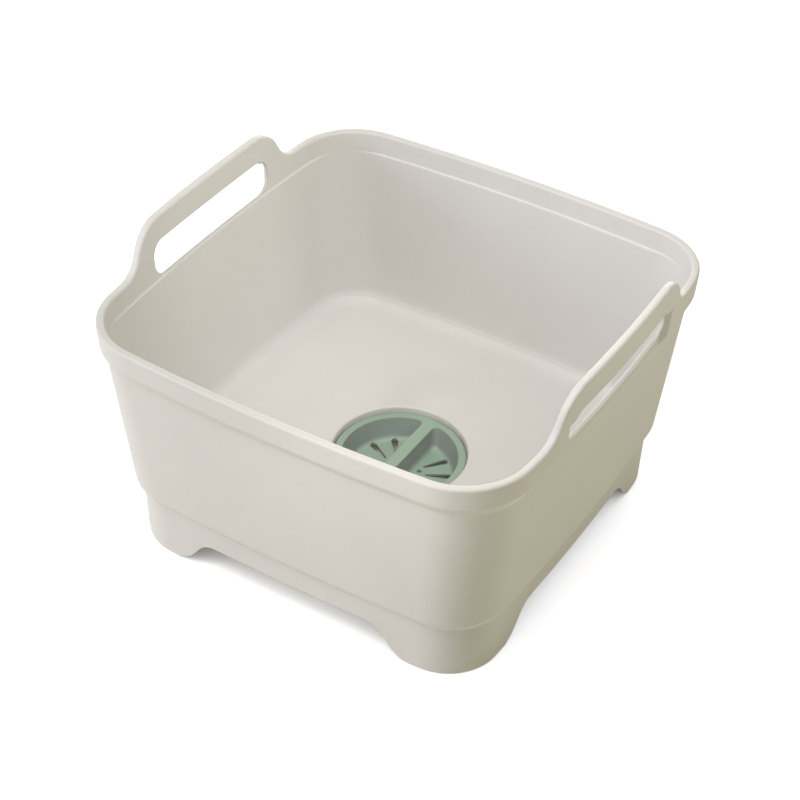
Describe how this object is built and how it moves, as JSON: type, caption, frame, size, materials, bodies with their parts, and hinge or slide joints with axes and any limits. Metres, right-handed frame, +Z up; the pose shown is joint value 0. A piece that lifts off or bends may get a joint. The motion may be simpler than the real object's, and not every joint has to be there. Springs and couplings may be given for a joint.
{
  "type": "washing up bowl",
  "caption": "Square plastic washing up bowl with raised slotted handles, arched corner feet and a lift-out straining plug seated over a drain in the floor.",
  "frame": {"origin": "on the ground, under the middle of the bowl", "axes": "+Z up, +X towards one of the two handles, +Y along the handles"},
  "size_m": [0.3132, 0.3098, 0.202],
  "materials": {
    "bowl_plastic": "fine matt moulded polypropylene, warm off-white",
    "plug_plastic": "satin moulded polypropylene, sage green",
    "seal_rubber": "soft pale grey silicone",
    "hardware_steel": "plain stainless steel"
  },
  "bodies": {
    "bowl": {"bowl_tub": "bowl_plastic"},
    "stopper": {"stopper_disc": "plug_plastic", "stopper_seal": "seal_rubber"},
    "basket": {"strainer_basket": "plug_plastic", "screw_washer": "hardware_steel", "retaining_screw": "hardware_steel"}
  },
  "joints": [
    {"name": "plug_lift", "type": "slide", "parent": "bowl", "child": "stopper", "axis": [0, 0, 1], "range_m": [0, 0.2]},
    {"name": "plug_turn", "type": "hinge", "parent": "stopper", "child": "basket", "pos_m": [0, 0, 0.0148], "axis": [0, 0, 1], "continuous": true}
  ]
}
